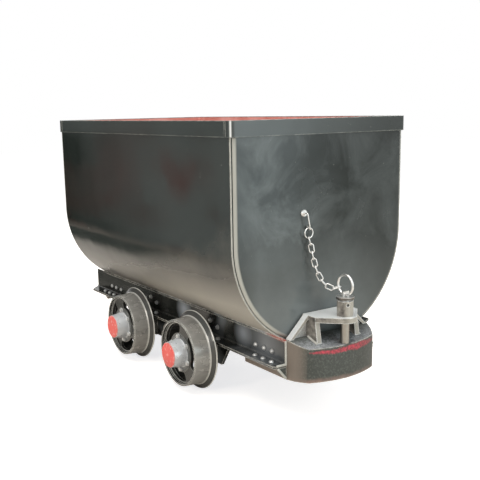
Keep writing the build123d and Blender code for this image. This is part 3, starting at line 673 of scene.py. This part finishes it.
# enamel on a turned and cast wheel, with the tread and flange run bare
def wheelEnamel():
    look = wheelLook
    material, add, place, cloud, tone = cloudedMaterial("painted_wheel_steel", look["tones"], look["clouds"])
    where = add("SeparateXYZ", {}, {0: place})
    along = add("Math", {"operation": "ABSOLUTE"}, {0: where.outputs["X"]})
    offAxle = add("CombineXYZ", {}, {"X": along, "Z": where.outputs["Z"]})
    axleCentre = (axle["place"], 0, axle["height"])
    radius = add("VectorMath", {"operation": "DISTANCE", 1: axleCentre}, {0: offAxle})
    outward = add("Math", {"operation": "ABSOLUTE"}, {0: where.outputs["Y"]})
    masks = {}
    zones = (("treadStart", 0.0, 0.85), ("flangeStart", 1.0, 0.1), ("barrelEnd", 0.0, 1.0), ("plateEnd", 0.0, 0.5),
             ("rimStart", 0.25, 1.0), ("crest", 0.0, 0.9), ("outerFace", 0.0, 0.85))
    for zone, least, most in zones:
        start, end = look[zone]
        span = {"From Min": start, "From Max": end, "To Min": least, "To Max": most}
        masks[zone] = add("MapRange", span, {"Value": outward if zone == "outerFace" else radius})

    # the tread, streaked by the rails it ran on
    streakRound = scaleFor(look["streakRound"])
    streakScale = (streakRound, scaleFor(look["streakAcross"]), streakRound)
    across = add("Mapping", {"Scale": streakScale, "Rotation": (0.5, 0, 0)}, {"Vector": place})
    streak = add("TexNoise", {"Scale": 1.0, "Detail": 6.0, "Roughness": 0.65}, {"Vector": across})
    streaky = {"From Min": 0.35, "From Max": 0.72, "To Min": 0.55, "To Max": 1.0}
    streaky = add("MapRange", streaky, {"Value": streak})
    tread = masks["treadStart"]
    for mask in (masks["flangeStart"], streaky):
        tread = add("Math", {"operation": "MULTIPLY"}, {0: tread, 1: mask})

    # the hub's turned barrel, its steel made near white as painted light in the shade of the wheel's recess, and
    # the plate round it
    barrel = add("Math", {"operation": "MULTIPLY"}, {0: masks["barrelEnd"], 1: masks["outerFace"]})
    plate = add("Math", {"operation": "MULTIPLY"}, {0: masks["plateEnd"], 1: masks["outerFace"]})
    plate = add("Math", {"operation": "SUBTRACT", "use_clamp": True}, {0: plate, 1: barrel})

    # bare edges outside the hub, pale enough to stand also for painted highlights, and painted highlights along the
    # flange's crest and its root
    worn = edgeWear(add, place, 0.006, look["rubbing"], 0.6)
    worn = add("Math", {"operation": "MULTIPLY"}, {0: worn, 1: masks["rimStart"]})
    offRoot = add("Math", {"operation": "SUBTRACT", 1: look["root"]}, {0: radius})
    offRoot = add("Math", {"operation": "ABSOLUTE"}, {0: offRoot})
    root = add("MapRange", {"From Min": 0.0022, "From Max": 0.0012, "To Max": 0.7}, {"Value": offRoot})
    for mask in (masks["crest"], root):
        worn = add("Math", {"operation": "MAXIMUM"}, {0: worn, 1: mask})
    for coat, mask in (("tread", tread), ("barrel", barrel), ("plate", plate), ("bareEdge", worn)):
        tone = add("Mix", {"data_type": "RGBA", "B": linear(look[coat])}, {"Factor": mask, "A": tone})

    turned = add("Math", {"operation": "MULTIPLY", 1: 0.35}, {0: barrel})
    run = add("Math", {"operation": "MULTIPLY", 1: 0.4}, {0: tread})
    shiny = add("Math", {"operation": "MAXIMUM"}, {0: turned, 1: run})
    haze = add("MapRange", {"To Min": 0.08, "To Max": 0.26}, {"Value": cloud})
    haze = add("Math", {"operation": "MULTIPLY_ADD", 1: 0.35}, {0: shiny, 2: haze})
    grain = {"Scale": scaleFor(look["grain"]), "Detail": 4.0, "Roughness": 0.6}
    grain = add("TexNoise", grain, {"Vector": place})
    bump = add("Bump", {"Strength": 0.25, "Distance": 0.0008}, {"Height": grain})
    finish = {"Base Color": tone, "Roughness": haze, "Normal": bump, "Metallic": shiny}
    paint = add("BsdfPrincipled", {"IOR": 1.5}, finish)
    add("OutputMaterial", {}, {"Surface": paint})
    return material


steelLook = {
    "tones": ("#b8b6b3", "#f4f3f1"),
    "clouds": 11.111,  # millimetres
    "headRim": "#3f352d",
    "shaft": "#857d71",
}


# zinc-bright steel bar, turned or drawn: it mirrors the studio softly, and the pin's shaft is dull with grease
def brightSteel():
    look = steelLook
    material, add, place, cloud, tone = cloudedMaterial("bright_steel", look["tones"], look["clouds"], 4.0)
    where = add("SeparateXYZ", {}, {0: place})
    outward = add("Math", {"operation": "ABSOLUTE"}, {0: where.outputs["X"]})
    inPlan = add("CombineXYZ", {}, {"X": outward, "Y": where.outputs["Y"]})
    offPin = add("VectorMath", {"operation": "DISTANCE", 1: (pin["place"], 0, 0)}, {0: inPlan})
    rim = add("MapRange", {"From Min": 0.0325, "From Max": 0.0345, "To Max": 0.85}, {"Value": offPin})
    head = {"operation": "COMPARE", 1: pin["headMiddle"], 2: pin["headHalf"]}
    head = add("Math", head, {0: where.outputs["Z"]})
    head = add("Math", {"operation": "MULTIPLY"}, {0: head, 1: rim})
    shaft = {"From Min": 0.415, "From Max": 0.395, "To Max": 0.75}
    shaft = add("MapRange", shaft, {"Value": where.outputs["Z"]})
    for coat, mask in (("headRim", head), ("shaft", shaft)):
        tone = add("Mix", {"data_type": "RGBA", "B": linear(look[coat])}, {"Factor": mask, "A": tone})
    haze = add("MapRange", {"To Min": 0.25, "To Max": 0.45}, {"Value": cloud})
    steel = add("BsdfPrincipled", {"Metallic": 1.0}, {"Base Color": tone, "Roughness": haze})
    add("OutputMaterial", {}, {"Surface": steel})
    return material


plainLooks = {  # tones, size of the clouds in millimetres, and the surface's own settings
    # rivet and bolt heads, their paint rubbed to shining steel
    "rubbed_head_steel": (("#a9aaa9", "#efefee"), 6.25, {"Metallic": 0.5, "Roughness": 0.28}),
    # weld metal, painted over thinly, with its ripples showing grey
    "weld_metal": (("#98968e", "#d3d1c9"), 8.3333, {"IOR": 1.5, "Roughness": 0.35}),
}


def plainSteel(name):
    tones, size, surface = plainLooks[name]
    material, add, *_, tone = cloudedMaterial(name, tones, size, 3.0, 0.5)
    finish = add("BsdfPrincipled", surface, {"Base Color": tone})
    add("OutputMaterial", {}, {"Surface": finish})
    return material


enamel = glossEnamel()
brushed = railEnamel()
red = redEnamel("red_enamel", ("#dc4640", "#f16a61"), 14.286, 0.65)
inside = redEnamel("dusty_red_enamel", ("#b05d52", "#d4968b"), 250, 0.35)
casting = castEnamel()
thin = thinPaint()
wheelPaint = wheelEnamel()
steel = brightSteel()
heads = plainSteel("rubbed_head_steel")
weld = plainSteel("weld_metal")
print("materials made")

finishes = {
    "gloss_black_paint": enamel,
    "painted_casting": casting,
    "painted_wheel": wheelPaint,
    "red_paint": red,
    "bright_steel": steel,
}
slotOf = {part["node"]: part["material_slot"] for part in frame["record"]["subparts"]}
bodyOf = {name: body for body, names in frame["record"]["behaviour"]["bodies"].items() for name in names}
for name, node in cadNodes.items():
    for holder in node.material_slots:
        holder.material = finishes[slotOf[name]]


def pick(piece, kind, test):
    # selects the vertices, edges or faces that pass the test, and goes into edit mode
    selectOnly(piece)
    bpy.ops.object.mode_set(mode="EDIT")
    bpy.ops.mesh.select_mode(type=kind)
    bpy.ops.mesh.select_all(action="DESELECT")
    bpy.ops.object.mode_set(mode="OBJECT")
    parts = {"VERT": piece.data.vertices, "EDGE": piece.data.edges, "FACE": piece.data.polygons}[kind]
    for part in parts:
        if kind == "VERT":
            part.select = test(part.co)
        elif kind == "EDGE":
            part.select = all(test(piece.data.vertices[number].co) for number in part.vertices)
        else:
            part.select = test(part)
    bpy.ops.object.mode_set(mode="EDIT")


def outOfEdit():
    bpy.ops.object.mode_set(mode="OBJECT")


def applyModifier(piece, kind, settings):
    selectOnly(piece)
    modifier = piece.modifiers.new(kind.lower(), kind)
    for name, value in settings.items():
        setattr(modifier, name, value)
    bpy.ops.object.modifier_apply(modifier=modifier.name)


def smoothed(piece, angle=30):
    selectOnly(piece)
    bpy.ops.object.shade_smooth_by_angle(angle=math.radians(angle))


def tubOutline(name, radius, place):
    # the tub's section as a line: the lower half of a circle, drawn up to the top at both ends
    deselectAll()
    middle = (place, 0, tub["axisHeight"])
    turned = (0, math.pi / 2, 0)
    bpy.ops.mesh.primitive_circle_add(vertices=tub["turns"], radius=radius, location=middle, rotation=turned)
    piece = bpy.context.object
    piece.name = name
    bpy.ops.object.transform_apply(location=True, rotation=True, scale=True)
    pick(piece, "VERT", lambda point: point.z > tub["axisHeight"] + 0.001)
    bpy.ops.mesh.delete(type="VERT")
    outOfEdit()
    pick(piece, "VERT", lambda point: point.z > tub["axisHeight"] - 0.001)
    rise = (0, 0, tub["top"] - tub["axisHeight"])
    bpy.ops.mesh.extrude_vertices_move(TRANSFORM_OT_translate={"value": rise})
    bpy.ops.mesh.select_all(action="SELECT")
    return piece


def finishTubPiece(piece, node, rimFinish):
    # faces turned outwards, then the wall's thickness inwards with red on its inner side
    middle = piece.data.polygons[len(piece.data.polygons) // 2]
    outward = middle.normal.dot(middle.center - Vector((0, 0, tub["top"])))
    if outward < 0:
        pick(piece, "FACE", lambda face: True)
        bpy.ops.mesh.flip_normals()
        outOfEdit()
    piece.data.materials.append(enamel)
    piece.data.materials.append(inside)
    applyModifier(piece, "SOLIDIFY", {
        "thickness": tub["plate"],
        "offset": -1,
        "material_offset": 1,
        "material_offset_rim": rimFinish,
        "use_even_offset": True,
    })
    smoothed(piece)
    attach(piece, "chassis")
    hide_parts(node)


def makeTubShell():
    piece = tubOutline("tub_shell_plate", tub["radius"], -tub["shellEnd"])
    bpy.ops.mesh.extrude_region_move(TRANSFORM_OT_translate={"value": (2 * tub["shellEnd"], 0, 0)})
    outOfEdit()
    finishTubPiece(piece, "tub_shell", 0)


def makeTubEnd(end, sign):
    piece = tubOutline("tub_end_plate_" + end, tub["endRadius"], sign * tub["endFace"])
    bpy.ops.mesh.edge_face_add()
    bpy.ops.mesh.extrude_region_move(TRANSFORM_OT_translate={"value": (-sign * tub["endSkirt"], 0, 0)})
    outOfEdit()
    skirtFrom = tub["endFace"] - tub["endSkirt"] / 4

    def openSide(face):  # the skirt's inner end and its flat top
        return abs(face.center.x) < skirtFrom and (abs(face.normal.x) > 0.9 or face.normal.z > 0.9)

    pick(piece, "FACE", openSide)
    bpy.ops.mesh.delete(type="FACE")
    bpy.ops.mesh.select_all(action="SELECT")
    bpy.ops.mesh.remove_doubles(threshold=0.00001)
    bpy.ops.mesh.normals_make_consistent(inside=False)
    outOfEdit()
    pick(piece, "EDGE", lambda point: abs(abs(point.x) - tub["endFace"]) < 0.0005)
    bpy.ops.mesh.select_mode(type="EDGE")
    outOfEdit()
    for edge in piece.data.edges:
        points = [piece.data.vertices[number].co for number in edge.vertices]
        if all(point.z > tub["top"] - 0.001 for point in points):
            edge.select = False
    bpy.ops.object.mode_set(mode="EDIT")
    bpy.ops.mesh.bevel(offset=tub["endBend"], segments=8)
    outOfEdit()
    finishTubPiece(piece, "tub_end_" + end, 1)


makeTubShell()
makeTubEnd("front", 1)
makeTubEnd("rear", -1)
print("tub made")

cotterHole = {"out": 0.945, "side": -0.011, "height": 0.466, "radius": 0.006, "depth": 0.030, "sides": 24}


def drill(piece, sign):
    deselectAll()
    place = (sign * cotterHole["out"], sign * cotterHole["side"], cotterHole["height"])
    size = {"vertices": cotterHole["sides"], "radius": cotterHole["radius"], "depth": cotterHole["depth"]}
    bpy.ops.mesh.primitive_cylinder_add(location=place, rotation=(0, math.pi / 2, 0), **size)
    cutter = bpy.context.object
    applyModifier(piece, "BOOLEAN", {"object": cutter, "operation": "DIFFERENCE", "solver": "EXACT"})
    remove(cutter)


def smoothCopy(name, finish, edge, turn):
    # a merged copy of a CAD node with its sharp edges rounded by a hair
    piece = bpy.data.objects.new(name + "_smooth", cadNodes[name].data.copy())
    bpy.context.collection.objects.link(piece)
    piece.data.materials.clear()
    piece.data.materials.append(finish)
    pick(piece, "FACE", lambda face: True)
    bpy.ops.mesh.remove_doubles(threshold=0.00002)
    bpy.ops.mesh.dissolve_limited(angle_limit=math.radians(0.5))
    outOfEdit()
    if name.startswith("coupler_lug"):
        drill(piece, 1 if name.endswith("front") else -1)
    smoothed(piece, turn)
    if edge:
        applyModifier(piece, "BEVEL", {
            "width": edge,
            "segments": 2,
            "limit_method": "ANGLE",
            "angle_limit": math.radians(turn),
            "harden_normals": True,
        })
    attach(piece, bodyOf[name])
    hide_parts(name)


copies = (  # start of the nodes' names, finish, rounding of the edges, smoothing angle
    ("rim_", enamel, 0.0012, 35),
    ("rail_", brushed, 0.0015, 35),
    ("axle_bracket_", brushed, 0.0015, 35),
    ("buffer_", casting, 0.0025, 30),
    ("coupler_lug_", thin, 0.0020, 30),
    ("coupling_pin_", steel, 0.0010, 40),
    ("pin_ring_", steel, 0, 60),
    ("pin_chain_", steel, 0, 70),
    ("chain_hook_", steel, 0, 50),
    ("axle_front", wheelPaint, 0.0010, 40),
    ("axle_rear", wheelPaint, 0.0010, 40),
    ("wheel_", wheelPaint, 0.0012, 35),
    ("hub_cap_", red, 0, 30),
)
for start, finish, edge, turn in copies:
    for name in sorted(cadNodes):
        if name.startswith(start):
            smoothCopy(name, finish, edge, turn)
print("smooth copies made")


def domeHead(name, radius, height):
    # a rivet's head: the upper half of a sphere, flattened, on +Z
    deselectAll()
    bpy.ops.mesh.primitive_uv_sphere_add(segments=20, ring_count=12, radius=radius, location=(0, 0, 0))
    piece = bpy.context.object
    piece.name = name
    pick(piece, "VERT", lambda point: point.z < -0.0001)
    bpy.ops.mesh.delete(type="VERT")
    bpy.ops.mesh.select_all(action="SELECT")
    bpy.ops.transform.resize(value=(1, 1, height / radius))
    outOfEdit()
    smoothed(piece, 60)
    return piece


def hexHead(name, width, height):
    # a bolt's head on its washer, on +Z, with its corners 0.577 of the width out
    deselectAll()
    washer = {"vertices": 24, "radius": width * 0.68, "depth": height * 0.25}
    bpy.ops.mesh.primitive_cylinder_add(location=(0, 0, height * 0.125), **washer)
    washer = bpy.context.object
    head = {"vertices": 6, "radius": width * 0.577, "depth": height * 0.8}
    bpy.ops.mesh.primitive_cylinder_add(location=(0, 0, height * 0.6), **head)
    piece = bpy.context.object
    piece.name = name
    pick(piece, "EDGE", lambda point: point.z > 0.3 * height)
    bpy.ops.mesh.bevel(offset=height * 0.12, segments=2)
    outOfEdit()
    selectOnly(piece)
    washer.select_set(True)
    bpy.ops.object.join()
    bpy.ops.object.transform_apply(location=True, rotation=True, scale=True)
    smoothed(piece, 30)
    return piece


def scatter(model, name, places, finish, body):
    # copies of one head, each at a place with its axis turned to a direction, joined as one piece
    made = []
    for place, direction in places:
        head = model.copy()
        head.data = model.data.copy()
        bpy.context.collection.objects.link(head)
        head.location = place
        head.rotation_euler = Vector(direction).to_track_quat("Z", "Y").to_euler()
        made.append(head)
    deselectAll()
    for head in made:
        head.select_set(True)
    bpy.context.view_layer.objects.active = made[0]
    bpy.ops.object.join()
    piece = bpy.context.object
    piece.name = name
    bpy.ops.object.transform_apply(location=True, rotation=True, scale=True)
    piece.data.materials.clear()
    piece.data.materials.append(finish)
    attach(piece, body)


rail = {"webFace": 0.210, "flangeTop": 0.234, "flangeLine": 0.240}
rivets = {
    "radius": 0.0105,
    "height": 0.0085,
    "webHeight": 0.266,
    "webPlaces": (0.615, 0.672, 0.7245),
    "flangePlaces": (0.6486, 0.702, 0.756),
}
rivet = domeHead("rivet_head", rivets["radius"], rivets["height"])
for side, hand in (("right", -1), ("left", 1)):
    places = []
    for end in (1, -1):
        for place in rivets["webPlaces"]:
            places.append(((end * place, hand * rail["webFace"], rivets["webHeight"]), (0, hand, 0)))
        for place in rivets["flangePlaces"]:
            places.append(((end * place, hand * rail["flangeLine"], rail["flangeTop"]), (0, 0, 1)))
    scatter(rivet, "rail_rivets_" + side, places, heads, "chassis")

bolts = {
    "width": 0.016,
    "height": 0.009,
    "webPlaces": ((-0.057, 0.274), (0.0, 0.293), (0.057, 0.274)),  # from the axle, and up
    "flangePlaces": (-0.100, 0.100),
    "blockFace": 0.211,
    "blockPlaces": ((-0.026, 0.212), (0.026, 0.212)),
    "hubFace": 0.374,
    "hubCircle": 0.0735,
    "hubCount": 6,
    "hubPhase": 35,
}
bolt = hexHead("bolt_head", bolts["width"], bolts["height"])
for side, hand in (("right", -1), ("left", 1)):
    places = []
    for end in (1, -1):
        for offset, height in bolts["webPlaces"]:
            places.append(((end * axle["place"] + offset, hand * rail["webFace"], height), (0, hand, 0)))
        for offset in bolts["flangePlaces"]:
            place = (end * axle["place"] + offset, hand * rail["flangeLine"], rail["flangeTop"])
            places.append((place, (0, 0, 1)))
        for offset, height in bolts["blockPlaces"]:
            places.append(((end * axle["place"] + offset, hand * bolts["blockFace"], height), (0, hand, 0)))
    scatter(bolt, "bracket_bolts_" + side, places, heads, "chassis")
    for end, sign in (("front", 1), ("rear", -1)):
        places = []
        for number in range(bolts["hubCount"]):
            turn = math.radians(bolts["hubPhase"] + number * 360 / bolts["hubCount"])
            x = sign * axle["place"] + bolts["hubCircle"] * math.cos(turn)
            z = axle["height"] + bolts["hubCircle"] * math.sin(turn)
            places.append(((x, hand * bolts["hubFace"], z), (0, hand, 0)))
        scatter(bolt, f"hub_bolts_{end}_{side}", places, heads, "wheelset_" + end)
print("rivets and bolts made")


def makeRipple(radius):
    # one solidified drop of a weld, as a flattened ball
    deselectAll()
    bpy.ops.mesh.primitive_uv_sphere_add(segments=10, ring_count=6, radius=radius, location=(0, 0, 0))
    piece = bpy.context.object
    pick(piece, "VERT", lambda point: True)
    bpy.ops.transform.resize(value=(1, 1, 0.6))
    outOfEdit()
    smoothed(piece, 60)
    return piece


def weldBead(name, runs, radius):
    # ripples set side by side along straight runs of the seam
    drop = makeRipple(radius)
    places = []
    for start, end in runs:
        start = Vector(start)
        end = Vector(end)
        steps = max(2, round((end - start).length / (radius * 0.8)))
        for number in range(steps + 1):
            places.append((start.lerp(end, number / steps), end - start))
    scatter(drop, name, places, weld, "chassis")
    remove(drop)


welds = {
    "seamRadius": 0.4315,  # of the shell's edge on the end plate
    "seamPlace": 0.7765,
    "seamTop": 1.112,
    "seamTurns": 48,
    "seamBead": 0.0032,
    "railBead": 0.0052,
    "railRuns": (  # on the right side, from and to
        ((0.8125, -0.2115, 0.236), (0.8125, -0.2115, 0.326)),
        ((0.8125, -0.212, 0.2345), (0.8115, -0.254, 0.2345)),
        ((0.8135, -0.214, 0.180), (0.8135, -0.250, 0.222)),
        ((0.828, -0.1125, 0.3325), (0.880, -0.1125, 0.3155)),
    ),
    "rimBead": 0.0014,
    "rimPlace": (0.760, 0.4389),
    "rimFrom": 1.117,
    "rimTo": 1.173,
}
for end, sign in (("front", 1), ("rear", -1)):
    place = sign * welds["seamPlace"]
    outline = [(place, -welds["seamRadius"], welds["seamTop"])]
    for number in range(welds["seamTurns"] + 1):
        turn = math.pi * number / welds["seamTurns"]
        side = -welds["seamRadius"] * math.cos(turn)
        outline.append((place, side, tub["axisHeight"] - welds["seamRadius"] * math.sin(turn)))
    outline.append((place, welds["seamRadius"], welds["seamTop"]))
    weldBead("end_plate_weld_" + end, list(zip(outline, outline[1:])), welds["seamBead"])
runs = []
for first, last in welds["railRuns"]:
    for hand in (1, -1):
        runs.append(((first[0], hand * first[1], first[2]), (last[0], hand * last[1], last[2])))
weldBead("coupling_end_welds", runs, welds["railBead"])
runs = []
for end in (1, -1):
    for hand in (1, -1):
        place = (end * welds["rimPlace"][0], hand * welds["rimPlace"][1])
        runs.append((place + (welds["rimFrom"],), place + (welds["rimTo"],)))
weldBead("rim_welds", runs, welds["rimBead"])
for model in (rivet, bolt):
    remove(model)
print("welds made")
